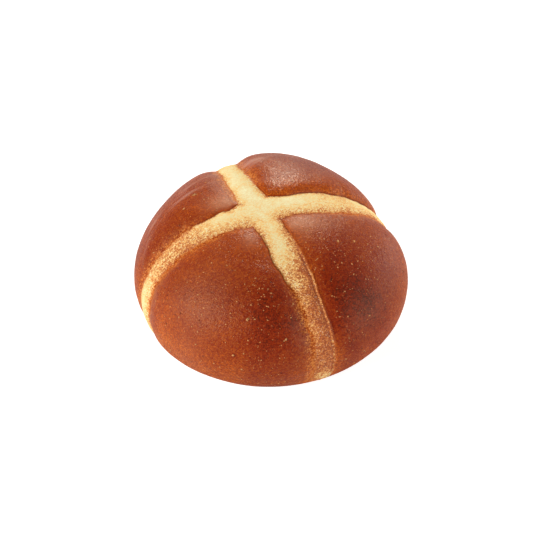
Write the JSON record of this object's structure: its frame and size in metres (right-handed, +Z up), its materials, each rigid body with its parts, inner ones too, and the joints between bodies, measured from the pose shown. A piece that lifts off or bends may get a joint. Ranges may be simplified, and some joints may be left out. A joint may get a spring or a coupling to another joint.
{
  "type": "hot cross bun",
  "caption": "Round risen sweet bun with a browned crust, puffed up in quarters between the arms of a pale paste cross that runs down its sides.",
  "frame": {"origin": "centre of the bun's box in plan, on its flat underside", "axes": "+Z up out of the top of the bun, +X and +Y along two arms of the cross, +X towards the broadest arm"},
  "size_m": [0.091, 0.0942, 0.0415],
  "materials": {
    "crust": "satin, egg-glazed brown bread crust",
    "paste": "matt, baked flour paste, toasted in places"
  },
  "bodies": {
    "root": {"bun": "crust", "cross": "paste"}
  },
  "joints": []
}
